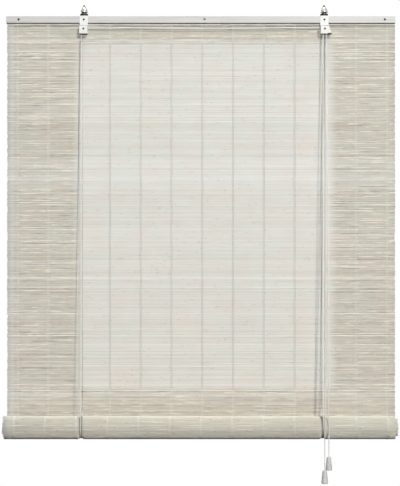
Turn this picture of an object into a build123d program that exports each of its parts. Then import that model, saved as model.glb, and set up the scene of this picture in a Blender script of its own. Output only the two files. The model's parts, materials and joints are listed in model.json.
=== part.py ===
from build123d import *
import math
import os

# Bamboo roll-up blind, millimetres. X runs along the head rail, -Y faces the room, +Z is up.
# The origin is on the rail's back face, midway between its two outer screw holes. The rail, the
# sheet and the roll each reach a little further to the left of it than to the right.

# Head rail: a wooden batten
rail_length = 906.0
rail_offset = -2.3
rail_depth = 20.0
rail_height = 16.0
rail_edge_chamfer = 0.6
rail_screw_x = 426.0
middle_screw_x = 6.4
rail_screw_hole_radius = 2.5

# Woven sheet, hung in a saw kerf in the rail's underside
weave_width = 904.0
weave_offset = -1.4
weave_thickness = 1.6
weave_front_setback = 4.2
kerf_depth = 4.5
fit_gap = 0.1

# Rolled part of the sheet
roll_radius = 27.0
roll_length = 913.0
roll_offset = -4.2
roll_drop = 947.0
roll_edge_chamfer = 0.8
cradle_stand = 0.2
groove_flare = 2.4

# Cords
cord_radius = 1.1
join_above_bend = 3.0
soft_gap = 0.3
left_cord_x = -278.4
right_cord_x = 278.8
left_pull_x = 291.4
right_pull_x = 282.0

# Brackets: folded sheet steel with a pulley housing below the rail
left_bracket_x = -274.4
right_bracket_x = 285.5
bracket_width = 19.0
sheet = 1.0
housing_top_z = -15.2
housing_height = 20.0
housing_room = 12.6
cheek_flare = 6.5
flange_setback = 2.0
port_height = 7.0
port_top_gap = 1.0
port_corner = 1.5

# Pulleys and axles
pulley_drop = 23.2
pulley_path_radius = 4.0
pulley_radius = 5.4
pulley_width = 5.4
pulley_gap = 0.6
wide_pulley_width = 11.6
axle_radius = 1.25
axle_clearance = 0.05
axle_head_radius = 2.3
axle_head = 1.0
straight_end = 4.0
rear_wheel_gap = 0.8
head_taper = 25.0

# Lock roller in the right housing
lock_roller_radius = 2.5
lock_roller_length = 11.8
lock_roller_drop = 24.2
lock_roller_x = 8.25
lip_width = 6.0
lip_overlap = 0.2
lock_roller_chamfer = 0.3

# Finials: a turned nut on a stud, over a washer
stud_radius = 2.0
stud_in_rail = 11.0
stud_height = 12.0
washer_radius = 9.2
washer_height = 5.4
washer_clearance = 0.1
neck_radius = 6.6
neck_height = 3.6
shoulder_radius = 8.4
finial_height = 20.6
tip_radius = 2.4
base_land = 0.8
waist_depth = 1.2
washer_chamfer = 0.4
stud_end_gap = 0.5

# Screws and screw eyes
screw_radius = 1.5
screw_length = 7.0
screw_head_radius = 2.4
screw_head = 1.4
eye_wire_radius = 0.8
eye_shank_radius = 0.95
eye_ring_radius = 4.0
eye_shank_in_rail = 8.0
eye_shank_below = 2.0
eye_from_wall = 9.0
knot_loop_radius = 3.0
knot_radius = 2.4
knot_bite = 0.4
knot_sink = 0.7

# Cord drops
drop_height = 30.0
drop_top_radius = 4.8
drop_bottom_radius = 8.0
drop_rim_fillet = 2.0
drop_bore_clearance = 0.3
drop_recess_radius = 5.2
drop_recess_depth = 9.0
upper_drop_top_z = -1011.0
lower_drop_top_z = -1042.0

# Places that follow from the sizes above
rail_front_y = -rail_depth
weave_front_y = rail_front_y + weave_front_setback
weave_back_y = weave_front_y + weave_thickness
back_cord_y = weave_back_y + soft_gap + cord_radius
cradle_radius = roll_radius + cradle_stand
roll_y = back_cord_y - cradle_radius
roll_z = -roll_drop
pull_y = roll_y - roll_radius - soft_gap - cord_radius
rear_plate_y = rail_front_y - sheet
housing_front_y = rear_plate_y - housing_room - sheet
rear_pulley_y = rear_plate_y - rear_wheel_gap - pulley_width / 2
front_pulley_y = rear_pulley_y - pulley_gap - pulley_width
middle_pulley_y = rear_plate_y - housing_room / 2
pulley_z = -pulley_drop
finial_y = -rail_depth / 2
flange_top_z = rail_height / 2 + sheet
washer_top_z = flange_top_z + washer_height
eye_z = -rail_height / 2 - eye_shank_below - eye_ring_radius
knot_loop_z = eye_z - eye_ring_radius - (knot_loop_radius - cord_radius - eye_wire_radius - fit_gap)
knot_z = knot_loop_z - knot_loop_radius - knot_radius + cord_radius - knot_sink
back_cord_top_z = knot_z - knot_radius + knot_bite
cord_clear_radius = cord_radius + soft_gap

os.makedirs("parts", exist_ok=True)


def save(part, name):
    part.label = name
    export_step(part, f"parts/{name}.step")


def plane_facing_front(y, x=0.0, z=0.0):
    """A plane whose own x and y are the blind's X and Z, and whose normal points at the room."""
    return Plane(origin=(x, y, z), x_dir=(1, 0, 0), z_dir=(0, -1, 0))


# ---------------------------------------------------------------- head rail
with BuildPart() as head_rail:
    with BuildSketch(Plane.YZ.offset(rail_offset - rail_length / 2)):
        with Locations((-rail_depth / 2, 0)):
            Rectangle(rail_depth, rail_height)
    extrude(amount=rail_length)
    chamfer(head_rail.edges().filter_by(Axis.X), rail_edge_chamfer)
    # saw kerf that grips the top edge of the weave
    with BuildSketch(Plane.XY.offset(-rail_height / 2)):
        with Locations((rail_offset, (weave_front_y + weave_back_y) / 2)):
            Rectangle(rail_length, weave_thickness + 2 * fit_gap)
    extrude(amount=kerf_depth, mode=Mode.SUBTRACT)
    # three screw holes through to the wall
    with BuildSketch(plane_facing_front(0)):
        with Locations((-rail_screw_x, 0), (rail_screw_x, 0), (middle_screw_x, 0)):
            Circle(rail_screw_hole_radius)
    extrude(amount=rail_depth, mode=Mode.SUBTRACT)
    # pilot holes for the bracket screws, the studs and the screw eyes
    with BuildSketch(plane_facing_front(rail_front_y)):
        with Locations((left_bracket_x, 0), (right_bracket_x, 0)):
            Circle(screw_radius)
    extrude(amount=-screw_length, mode=Mode.SUBTRACT)
    with BuildSketch(Plane.XY.offset(rail_height / 2)):
        with Locations((left_bracket_x, finial_y), (right_bracket_x, finial_y)):
            Circle(stud_radius)
    extrude(amount=-stud_in_rail, mode=Mode.SUBTRACT)
    with BuildSketch(Plane.XY.offset(-rail_height / 2)):
        with Locations((left_cord_x, -eye_from_wall), (right_cord_x, -eye_from_wall)):
            Circle(eye_shank_radius)
    extrude(amount=eye_shank_in_rail, mode=Mode.SUBTRACT)
save(head_rail.part, "head_rail")

# ---------------------------------------------------------------- woven sheet
# The flat part ends just above the place where it would meet the roll's surface.
meet_height = math.sqrt(roll_radius**2 - (roll_y - weave_front_y) ** 2)
weave_bottom_z = roll_z + meet_height + 2 * soft_gap
with BuildPart() as fabric_drop:
    with BuildSketch(Plane.XY.offset(weave_bottom_z)):
        with Locations((weave_offset, (weave_front_y + weave_back_y) / 2)):
            Rectangle(weave_width, weave_thickness)
    extrude(amount=-rail_height / 2 + kerf_depth - fit_gap - weave_bottom_z)
save(fabric_drop.part, "fabric_drop")

# The turns of the roll are one solid, with a shallow groove where each lift cord pulls in.
roll_left_x = roll_offset - roll_length / 2
roll_right_x = roll_offset + roll_length / 2
groove_radius = cradle_radius - cord_clear_radius
groove_points = []
for groove_x in (left_cord_x, right_cord_x):
    groove_points.append((groove_x - cord_clear_radius - groove_flare, roll_radius))
    groove_points.append((groove_x - cord_clear_radius, groove_radius))
    groove_points.append((groove_x + cord_clear_radius, groove_radius))
    groove_points.append((groove_x + cord_clear_radius + groove_flare, roll_radius))
with BuildPart() as fabric_roll:
    with BuildSketch(plane_facing_front(roll_y, 0, roll_z)):
        with BuildLine():
            Polyline(
                (roll_left_x, 0),
                (roll_left_x, roll_radius - roll_edge_chamfer),
                (roll_left_x + roll_edge_chamfer, roll_radius),
                *groove_points,
                (roll_right_x - roll_edge_chamfer, roll_radius),
                (roll_right_x, roll_radius - roll_edge_chamfer),
                (roll_right_x, 0),
                close=True,
            )
        make_face()
    revolve(axis=Axis((0, roll_y, roll_z), (1, 0, 0)))
save(fabric_roll.part, "fabric_roll")


# ---------------------------------------------------------------- brackets
def save_bracket(name, centre_x, flare):
    """A folded steel bracket. The housing's right cheek leans out by flare at its foot."""
    half = bracket_width / 2
    foot_z = housing_top_z - housing_height
    inner_y = rear_plate_y - housing_room
    housing_outline = [
        (-half, foot_z),
        (-half, housing_top_z),
        (half, housing_top_z),
        (half, housing_top_z - sheet),
        (half + flare, foot_z),
    ]
    room_outline = [
        (-half + sheet, foot_z),
        (-half + sheet, housing_top_z - sheet),
        (half - sheet, housing_top_z - sheet),
        (half + flare - sheet, foot_z),
    ]
    with BuildPart() as bracket:
        # rear plate on the rail's face, and its top flange over the rail
        with BuildSketch(plane_facing_front(rail_front_y, centre_x)):
            with Locations((0, (flange_top_z + housing_top_z) / 2)):
                Rectangle(bracket_width, flange_top_z - housing_top_z)
        extrude(amount=sheet)
        with BuildSketch(Plane.XY.offset(rail_height / 2)):
            with Locations((centre_x, (rear_plate_y - flange_setback) / 2)):
                Rectangle(bracket_width, -rear_plate_y - flange_setback)
        extrude(amount=sheet)
        # pulley housing: a box that is open underneath
        with BuildSketch(plane_facing_front(rail_front_y, centre_x)):
            with BuildLine():
                Polyline(*housing_outline, close=True)
            make_face()
        extrude(amount=rail_front_y - housing_front_y)
        with BuildSketch(plane_facing_front(rear_plate_y, centre_x)):
            with BuildLine():
                Polyline(*room_outline, close=True)
            make_face()
        extrude(amount=housing_room, mode=Mode.SUBTRACT)
        # ports in the cheeks for the cord that crosses from bracket to bracket
        port_x = -half if flare else half - sheet
        port_z = housing_top_z - sheet - port_top_gap - port_height / 2
        with BuildSketch(Plane.YZ.offset(centre_x + port_x)):
            with Locations(((rear_plate_y + inner_y) / 2, port_z)):
                RectangleRounded(housing_room - 2 * sheet, port_height, port_corner)
        extrude(amount=sheet, mode=Mode.SUBTRACT)
        if flare:
            # lip at the leaning cheek's foot that keeps the lock roller in
            lip_x = half + flare - sheet - lip_width / 2
            with BuildSketch(plane_facing_front(rear_plate_y, centre_x)):
                with Locations((lip_x + lip_overlap, foot_z + sheet / 2)):
                    Rectangle(lip_width, sheet)
            extrude(amount=housing_room)
        # holes for the rail screw, the axle and the stud
        with BuildSketch(plane_facing_front(rail_front_y, centre_x)):
            Circle(screw_radius)
        extrude(amount=sheet, mode=Mode.SUBTRACT)
        with BuildSketch(plane_facing_front(rail_front_y, centre_x, pulley_z)):
            Circle(axle_radius)
        extrude(amount=rail_front_y - housing_front_y, mode=Mode.SUBTRACT)
        with BuildSketch(Plane.XY.offset(rail_height / 2)):
            with Locations((centre_x, finial_y)):
                Circle(stud_radius + washer_clearance)
        extrude(amount=sheet, mode=Mode.SUBTRACT)
    save(bracket.part, name)


save_bracket("left_bracket", left_bracket_x, 0.0)
save_bracket("right_bracket", right_bracket_x, cheek_flare)


# ---------------------------------------------------------------- pulleys and axles
def save_pulley(name, centre_x, centre_y, width):
    """A grooved wheel that turns about a front-to-back axle."""
    with BuildPart() as pulley:
        with BuildSketch(plane_facing_front(centre_y, centre_x, pulley_z)):
            Circle(pulley_radius)
            Circle(axle_radius + axle_clearance, mode=Mode.SUBTRACT)
        extrude(amount=width / 2, both=True)
        groove_plane = Plane(origin=(centre_x, centre_y, pulley_z), x_dir=(0, 1, 0), z_dir=(1, 0, 0))
        with BuildSketch(groove_plane):
            with Locations((0, pulley_path_radius)):
                Circle(cord_clear_radius)
            with Locations((0, pulley_path_radius + cord_clear_radius)):
                Rectangle(2 * cord_clear_radius, 2 * cord_clear_radius)
        revolve(axis=Axis((centre_x, centre_y, pulley_z), (0, 1, 0)), mode=Mode.SUBTRACT)
    save(pulley.part, name)


save_pulley("left_pulley", left_bracket_x, middle_pulley_y, wide_pulley_width)
save_pulley("right_rear_pulley", right_bracket_x, rear_pulley_y, pulley_width)
save_pulley("right_front_pulley", right_bracket_x, front_pulley_y, pulley_width)

for side, centre_x in (("left", left_bracket_x), ("right", right_bracket_x)):
    with BuildPart() as axle:
        with BuildSketch(plane_facing_front(rail_front_y, centre_x, pulley_z)):
            Circle(axle_radius)
        extrude(amount=rail_front_y - housing_front_y)
        with BuildSketch(plane_facing_front(housing_front_y, centre_x, pulley_z)):
            Circle(axle_head_radius)
        extrude(amount=axle_head, taper=head_taper)
        with BuildSketch(plane_facing_front(rail_front_y, centre_x, pulley_z)):
            Circle(axle_head_radius)
        extrude(amount=-axle_head, taper=head_taper)
    save(axle.part, f"{side}_pulley_axle")

with BuildPart() as lock_roller:
    with BuildSketch(plane_facing_front(middle_pulley_y, right_bracket_x + lock_roller_x, -lock_roller_drop)):
        Circle(lock_roller_radius)
    extrude(amount=lock_roller_length / 2, both=True)
    chamfer(lock_roller.edges(), lock_roller_chamfer)
save(lock_roller.part, "lock_roller")

# ---------------------------------------------------------------- finials, studs, washers, screws
for side, centre_x in (("left", left_bracket_x), ("right", right_bracket_x)):
    with BuildPart() as washer:
        with BuildSketch(Plane.XY.offset(flange_top_z)):
            with Locations((centre_x, finial_y)):
                Circle(washer_radius)
                Circle(stud_radius + washer_clearance, mode=Mode.SUBTRACT)
        extrude(amount=washer_height)
        chamfer(washer.edges().filter_by(GeomType.CIRCLE).sort_by(SortBy.RADIUS)[-2:], washer_chamfer)
    save(washer.part, f"{side}_finial_washer")

    with BuildPart() as stud:
        with BuildSketch(Plane.XY.offset(rail_height / 2 - stud_in_rail)):
            with Locations((centre_x, finial_y)):
                Circle(stud_radius)
        extrude(amount=stud_in_rail + sheet + washer_height + stud_height)
    save(stud.part, f"{side}_finial_stud")

    finial_axis_plane = plane_facing_front(finial_y, centre_x, washer_top_z)
    shoulder_z = neck_height + 1.0
    tip_z = finial_height - tip_radius
    with BuildPart() as finial:
        with BuildSketch(finial_axis_plane):
            with BuildLine():
                Polyline(
                    (0, 0),
                    (neck_radius, 0),
                    (neck_radius, base_land),
                    (neck_radius - waist_depth, 2 * base_land),
                    (neck_radius - base_land, neck_height - base_land),
                    (shoulder_radius, neck_height),
                    (shoulder_radius, shoulder_z),
                )
                ThreePointArc(
                    (shoulder_radius, shoulder_z),
                    (shoulder_radius * 0.74, (shoulder_z + tip_z) / 2),
                    (tip_radius * 0.6, tip_z),
                )
                Line((tip_radius * 0.6, tip_z), (0, tip_z))
                Line((0, tip_z), (0, 0))
            make_face()
        revolve(axis=Axis((centre_x, finial_y, 0), (0, 0, 1)))
        with Locations((centre_x, finial_y, washer_top_z + tip_z)):
            Sphere(tip_radius)
        with BuildSketch(Plane.XY.offset(washer_top_z)):
            with Locations((centre_x, finial_y)):
                Circle(stud_radius + axle_clearance)
        extrude(amount=stud_height + stud_end_gap, mode=Mode.SUBTRACT)
    save(finial.part, f"{side}_finial")

    with BuildPart() as screw:
        with BuildSketch(plane_facing_front(rail_front_y, centre_x)):
            Circle(screw_radius)
        extrude(amount=-screw_length)
        with BuildSketch(plane_facing_front(rail_front_y, centre_x)):
            Circle(screw_radius)
        extrude(amount=sheet)
        with BuildSketch(plane_facing_front(rear_plate_y, centre_x)):
            Circle(screw_head_radius)
        extrude(amount=screw_head, taper=head_taper)
    save(screw.part, f"{side}_bracket_screw")

# ---------------------------------------------------------------- screw eyes and back knots
for side, cord_x in (("left", left_cord_x), ("right", right_cord_x)):
    with BuildPart() as screw_eye:
        with BuildSketch(Plane(origin=(cord_x, -eye_from_wall, eye_z), x_dir=(0, 1, 0), z_dir=(1, 0, 0))):
            with Locations((0, -eye_ring_radius)):
                Circle(eye_wire_radius)
        revolve(axis=Axis((cord_x, -eye_from_wall, eye_z), (0, 1, 0)))
        with BuildSketch(Plane.XY.offset(eye_z + eye_ring_radius)):
            with Locations((cord_x, -eye_from_wall)):
                Circle(eye_shank_radius)
        extrude(amount=eye_shank_below + eye_shank_in_rail)
    save(screw_eye.part, f"{side}_screw_eye")

    with BuildPart() as knot:
        with BuildSketch(Plane(origin=(cord_x, -eye_from_wall, knot_loop_z), x_dir=(1, 0, 0), z_dir=(0, -1, 0))):
            with Locations((0, knot_loop_radius)):
                Circle(cord_radius)
        revolve(axis=Axis((cord_x, -eye_from_wall, knot_loop_z), (1, 0, 0)))
        with Locations((cord_x, -eye_from_wall, knot_z)):
            Sphere(knot_radius)
        split(bisect_by=Plane.XY.offset(back_cord_top_z), keep=Keep.TOP)
    save(knot.part, f"{side}_back_knot")


# ---------------------------------------------------------------- cords
def save_cord(name, points, radii=None):
    """A cord along straight runs joined by tangent arcs, one radius for each corner."""
    with BuildPart() as cord:
        with BuildLine() as route:
            if radii:
                FilletPolyline(*points, radius=radii)
            else:
                Line(*points)
        path = route.wires()[0]
        with BuildSketch(Plane(origin=path @ 0, z_dir=path % 0)):
            Circle(cord_radius)
        sweep(path=path)
    save(cord.part, name)
    expected = math.pi * cord_radius**2 * path.length
    share = cord.part.volume / expected
    print(f"{name}: length {path.length:.1f} mm, radii {radii}, volume share {share:.4f}")


def touch_point(point_y, point_z, radius, front):
    """Where a straight cord from a point above touches the circle of that radius about the roll."""
    dy = point_y - roll_y
    dz = point_z - roll_z
    distance = math.hypot(dy, dz)
    turn = math.acos(radius / distance)
    angle = math.atan2(dz, dy) + (turn if front else -turn)
    return roll_y + radius * math.cos(angle), roll_z + radius * math.sin(angle)


hang_z = pulley_z - straight_end
cross_z = pulley_z + pulley_path_radius
left_rise_x = left_bracket_x - pulley_path_radius
right_rise_x = right_bracket_x - pulley_path_radius
fall_x = right_bracket_x + pulley_path_radius
lift_runs = (
    ("left", left_cord_x, left_rise_x, middle_pulley_y),
    ("right", right_cord_x, right_rise_x, front_pulley_y),
)
for side, cord_x, rise_x, pulley_y in lift_runs:
    back_y, back_z = touch_point(-eye_from_wall, back_cord_top_z, cradle_radius, front=False)
    front_y, front_z = touch_point(pulley_y, hang_z, cradle_radius, front=True)
    save_cord(f"{side}_back_cord", [(cord_x, -eye_from_wall, back_cord_top_z), (cord_x, back_y, back_z)])
    save_cord(f"{side}_front_cord", [(rise_x, pulley_y, hang_z), (cord_x, front_y, front_z)])
    with BuildPart() as cradle:
        with BuildLine() as loop:
            ThreePointArc(
                (cord_x, back_y, back_z),
                (cord_x, roll_y, roll_z - cradle_radius),
                (cord_x, front_y, front_z),
            )
        path = loop.wires()[0]
        with BuildSketch(Plane(origin=path @ 0, z_dir=path % 0)):
            Circle(cord_radius)
        sweep(path=path)
    save(cradle.part, f"{side}_cradle_cord")
    print(f"{side}_cradle_cord: length {path.length:.1f} mm, radius {cradle_radius:.1f}")

# Left cord: over the left pulley, across to the rear right pulley, and down.
save_cord(
    "left_cross_cord",
    [
        (left_rise_x, middle_pulley_y, hang_z),
        (left_rise_x, middle_pulley_y, cross_z),
        (fall_x, rear_pulley_y, cross_z),
        (fall_x, rear_pulley_y, hang_z),
    ],
    [pulley_path_radius, pulley_path_radius],
)
# Right cord: half a turn over the front right pulley.
save_cord(
    "right_over_cord",
    [
        (right_rise_x, front_pulley_y, hang_z),
        (right_rise_x, front_pulley_y, cross_z),
        (fall_x, front_pulley_y, cross_z),
        (fall_x, front_pulley_y, hang_z),
    ],
    [pulley_path_radius - 0.001, pulley_path_radius - 0.001],
)

# The pull runs lean out to the front of the roll, bend over it and hang straight down.
drops = (
    ("left", left_pull_x, rear_pulley_y, upper_drop_top_z),
    ("right", right_pull_x, front_pulley_y, lower_drop_top_z),
)
for side, pull_x, pulley_y, top_z in drops:
    knot_top_z = top_z - drop_height + drop_recess_depth - soft_gap
    start = Vector(fall_x, pulley_y, hang_z)
    bend = Vector(pull_x, pull_y, roll_z)
    join = bend + (start - bend).normalized() * join_above_bend
    save_cord(f"{side}_pull_cord_upper", [start, join])
    save_cord(f"{side}_pull_cord_lower", [join, bend, Vector(pull_x, pull_y, knot_top_z)], [roll_radius])

    with BuildPart() as cord_drop:
        with BuildSketch(Plane.XY.offset(top_z - drop_height)):
            with Locations((pull_x, pull_y)):
                Circle(drop_bottom_radius)
        with BuildSketch(Plane.XY.offset(top_z)):
            with Locations((pull_x, pull_y)):
                Circle(drop_top_radius)
        loft()
        fillet(cord_drop.edges().sort_by(Axis.Z)[:1], drop_rim_fillet)
        fillet(cord_drop.edges().sort_by(Axis.Z)[-1:], 1.0)
        with BuildSketch(Plane.XY.offset(top_z - drop_height)):
            with Locations((pull_x, pull_y)):
                Circle(cord_radius + drop_bore_clearance)
        extrude(amount=drop_height, mode=Mode.SUBTRACT)
        with BuildSketch(Plane.XY.offset(top_z - drop_height)):
            with Locations((pull_x, pull_y)):
                Circle(drop_recess_radius)
        extrude(amount=drop_recess_depth, mode=Mode.SUBTRACT)
    save(cord_drop.part, f"{side}_cord_drop")

    with BuildPart() as end_knot:
        with Locations((pull_x, pull_y, knot_top_z - knot_radius + knot_bite)):
            Sphere(knot_radius)
        split(bisect_by=Plane.XY.offset(knot_top_z), keep=Keep.BOTTOM)
    save(end_knot.part, f"{side}_drop_knot")
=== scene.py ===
import json
import math

import bpy
import numpy as np
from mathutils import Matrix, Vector


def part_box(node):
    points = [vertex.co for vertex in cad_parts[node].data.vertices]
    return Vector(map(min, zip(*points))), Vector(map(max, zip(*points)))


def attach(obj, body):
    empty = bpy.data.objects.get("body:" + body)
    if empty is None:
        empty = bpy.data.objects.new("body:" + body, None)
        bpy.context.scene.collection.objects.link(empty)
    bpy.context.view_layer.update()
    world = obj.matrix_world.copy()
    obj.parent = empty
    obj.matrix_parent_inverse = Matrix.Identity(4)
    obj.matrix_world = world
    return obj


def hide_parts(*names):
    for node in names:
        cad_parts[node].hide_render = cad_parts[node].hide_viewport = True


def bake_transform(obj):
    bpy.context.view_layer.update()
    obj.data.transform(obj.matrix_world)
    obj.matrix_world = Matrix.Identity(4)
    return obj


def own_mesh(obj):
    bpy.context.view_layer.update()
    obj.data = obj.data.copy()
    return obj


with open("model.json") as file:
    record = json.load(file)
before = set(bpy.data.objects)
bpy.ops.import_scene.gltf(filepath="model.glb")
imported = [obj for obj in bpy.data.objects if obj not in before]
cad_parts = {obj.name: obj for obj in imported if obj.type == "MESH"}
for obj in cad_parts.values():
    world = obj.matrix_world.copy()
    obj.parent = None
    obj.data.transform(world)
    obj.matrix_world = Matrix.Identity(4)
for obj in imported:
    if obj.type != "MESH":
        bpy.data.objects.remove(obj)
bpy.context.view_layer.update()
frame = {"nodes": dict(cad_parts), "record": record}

nodes = frame["nodes"]


# ------------------------------------------------------------------ camera
# The blind is seen square on from about three metres, at the height of its middle.
# A long lens keeps the roll's ends and the brackets nearly flat to the view.
view_distance = 3.3
view_side = -0.0040
view_height = -0.5201
view_tall = 1.1324
lens_data = bpy.data.cameras.new("camera")
lens_data.sensor_width = 36.0
lens_data.lens = lens_data.sensor_width * view_distance / view_tall
lens_data.clip_end = 60.0
camera = bpy.data.objects.new("camera", lens_data)
camera.location = (view_side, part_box("fabric_drop")[0].y - view_distance, view_height)
camera.rotation_euler = (math.radians(90.0), 0.0, 0.0)
bpy.context.scene.collection.objects.link(camera)
bpy.context.scene.camera = camera
bpy.context.scene.view_settings.view_transform = "Standard"


# ------------------------------------------------------------------ daylight and room
# A plain studio: a white surround that lights from above, a pale floor far below, a distant key
# from the upper right, a soft fill behind, a strip overhead, and a dim window pane behind the weave.
def add_node(tree, kind, **settings):
    """A node with its sockets, by name or number, and its properties set."""
    node = tree.nodes.new(kind)
    for key, value in settings.items():
        if hasattr(node, key):
            setattr(node, key, value)
        else:
            node.inputs[key.replace("_", " ")].default_value = value
    return node


def area_light(name, place, target, width, height, watts, colour=(1.0, 1.0, 1.0)):
    """A rectangular light at place, turned to target and itself out of sight."""
    data = bpy.data.lights.new(name, "AREA")
    data.shape = "RECTANGLE"
    data.size = width
    data.size_y = height
    data.energy = watts
    data.color = colour
    light = bpy.data.objects.new(name, data)
    light.location = place
    light.rotation_euler = (Vector(target) - Vector(place)).to_track_quat("-Z", "Y").to_euler()
    light.visible_camera = False
    bpy.context.scene.collection.objects.link(light)
    return light


world = bpy.data.worlds.new("studio")
world.use_nodes = True
bpy.context.scene.world = world
sky = world.node_tree
sky.nodes.clear()
direction = add_node(sky, "ShaderNodeTexCoord")
split_direction = add_node(sky, "ShaderNodeSeparateXYZ")
sky_ramp = add_node(sky, "ShaderNodeValToRGB")
sky_ramp.color_ramp.elements.new(0.5)
sky_stops = ((0.35, 0.10), (0.5, 0.30), (0.9, 1.0))
for element, (height, brightness) in zip(sky_ramp.color_ramp.elements, sky_stops):
    element.position = height
    element.color = (brightness, brightness, brightness * 0.99, 1.0)
raise_up = add_node(sky, "ShaderNodeMapRange")
raise_up.inputs["From Min"].default_value = -1.0
lighting = add_node(sky, "ShaderNodeBackground", Strength=0.44)
seen = add_node(sky, "ShaderNodeBackground", Color=(1.0, 1.0, 1.0, 1.0), Strength=1.0)
path = add_node(sky, "ShaderNodeLightPath")
mix_sky = add_node(sky, "ShaderNodeMixShader")
out_sky = add_node(sky, "ShaderNodeOutputWorld")
sky.links.new(direction.outputs["Generated"], split_direction.inputs[0])
sky.links.new(split_direction.outputs["Z"], raise_up.inputs["Value"])
sky.links.new(raise_up.outputs[0], sky_ramp.inputs[0])
sky.links.new(sky_ramp.outputs[0], lighting.inputs["Color"])
sky.links.new(path.outputs["Is Camera Ray"], mix_sky.inputs[0])
sky.links.new(lighting.outputs[0], mix_sky.inputs[1])
sky.links.new(seen.outputs[0], mix_sky.inputs[2])
sky.links.new(mix_sky.outputs[0], out_sky.inputs[0])

middle = (0.0, -0.02, -0.5)
area_light("key", (3.4, -9.3, 4.1), middle, 0.6, 0.6, 1080.0)
area_light("back_fill", (-2.5, 6.0, 1.0), middle, 2.5, 2.5, 220.0)
area_light("overhead", (0.0, -0.45, 1.5), (0.0, -0.06, -0.95), 1.8, 0.3, 15.0)
pane_low = Vector((-0.2918, 0.03, -0.860))
pane_high = Vector((0.3059, 0.03, -0.054))
pane_middle = (pane_low + pane_high) / 2
pane = area_light(
    "window_pane",
    pane_middle,
    pane_middle - Vector((0, 1, 0)),
    pane_high.x - pane_low.x,
    pane_high.z - pane_low.z,
    1.6,
    (0.6, 0.75, 1.0),
)
pane.data.spread = math.radians(14)

floor_z = -2.95
bpy.ops.mesh.primitive_plane_add(size=9.0, location=(0.0, 0.0, floor_z))
floor = bpy.context.object
floor.name = "floor"
floor_finish = bpy.data.materials.new("pale_floor")
floor_finish.use_nodes = True
floor_shader = floor_finish.node_tree.nodes["Principled BSDF"]
floor_shader.inputs["Base Color"].default_value = (0.80, 0.80, 0.79, 1.0)
floor_shader.inputs["Roughness"].default_value = 0.8
floor.data.materials.append(floor_finish)
# the blind hangs well above the floor, so the floor's own bounce is left out of its light
floor.visible_diffuse = False


# ------------------------------------------------------------------ head rail
# A planed softwood batten, 20 mm deep, brushed with white satin paint that has sunk into the grain.
# Three screw holes go through it, each with painted shade on its wall and a ring where the drill lifted
# the paint.
def new_finish(name, colour, roughness, metallic=0.0):
    """A material with its tree, its Principled shader and an Object coordinate node."""
    finish = bpy.data.materials.new(name)
    finish.use_nodes = True
    tree = finish.node_tree
    shader = tree.nodes["Principled BSDF"]
    shader.inputs["Base Color"].default_value = (*colour, 1.0)
    shader.inputs["Roughness"].default_value = roughness
    shader.inputs["Metallic"].default_value = metallic
    place = add_node(tree, "ShaderNodeTexCoord")
    return finish, tree, shader, place


def split_place(tree, place):
    """The X, Y and Z of the Object coordinates."""
    node = add_node(tree, "ShaderNodeSeparateXYZ")
    tree.links.new(place.outputs["Object"], node.inputs[0])
    return node


def stretched_noise(tree, place, scale, detail=4.0, offset=(0.0, 0.0, 0.0)):
    """Noise on Object coordinates, with its own scale along each axis, in turns a metre."""
    mapping = add_node(tree, "ShaderNodeMapping")
    mapping.inputs["Scale"].default_value = scale
    mapping.inputs["Location"].default_value = offset
    noise = add_node(tree, "ShaderNodeTexNoise", Scale=1.0, Detail=detail, Roughness=0.6)
    tree.links.new(place.outputs["Object"], mapping.inputs["Vector"])
    tree.links.new(mapping.outputs[0], noise.inputs["Vector"])
    return noise.outputs["Fac"]


def ramp(tree, source, stops):
    """A colour ramp from (position, colour) stops, fed by source."""
    node = add_node(tree, "ShaderNodeValToRGB")
    elements = node.color_ramp.elements
    while len(elements) < len(stops):
        elements.new(0.5)
    for element, (position, colour) in zip(elements, stops):
        element.position = position
        element.color = (*colour, 1.0)
    tree.links.new(source, node.inputs[0])
    return node.outputs[0]


def bump(tree, shader, height, distance, strength):
    """Relief on the shader's normal, distance deep in metres."""
    node = add_node(tree, "ShaderNodeBump", Strength=strength, Distance=distance)
    tree.links.new(height, node.inputs["Height"])
    tree.links.new(node.outputs[0], shader.inputs["Normal"])


def math_node(tree, operation, first, second=None, third=None):
    """A Math node; a number is set on its socket and a socket is linked to it."""
    node = add_node(tree, "ShaderNodeMath", operation=operation)
    for socket, value in zip(node.inputs, (first, second, third)):
        if value is None:
            continue
        if isinstance(value, (int, float)):
            socket.default_value = value
        else:
            tree.links.new(value, socket)
    return node.outputs[0]


def multiply_colours(tree, first, second, amount=1.0):
    """The first colour, multiplied by the second by an amount."""
    node = add_node(tree, "ShaderNodeMix", data_type="RGBA", blend_type="MULTIPLY")
    node.inputs[0].default_value = amount
    tree.links.new(first, node.inputs[6])
    tree.links.new(second, node.inputs[7])
    return node.outputs[2]


def mottle(tree, shader, source, stops):
    """Colours the finish through a ramp from source."""
    tree.links.new(ramp(tree, source, stops), shader.inputs["Base Color"])


def uneven_gloss(tree, shader, source, low, high):
    """Roughness that follows source, from low to high."""
    node = add_node(tree, "ShaderNodeMapRange")
    node.inputs["To Min"].default_value = low
    node.inputs["To Max"].default_value = high
    tree.links.new(source, node.inputs["Value"])
    tree.links.new(node.outputs[0], shader.inputs["Roughness"])


def dress(node_name, finish):
    """Gives a CAD node its finish."""
    node = nodes[node_name]
    node.data.materials.clear()
    node.data.materials.append(finish)


paint, tree, shader, place = new_finish("rail_paint", (0.62, 0.615, 0.595), 0.42)
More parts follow.
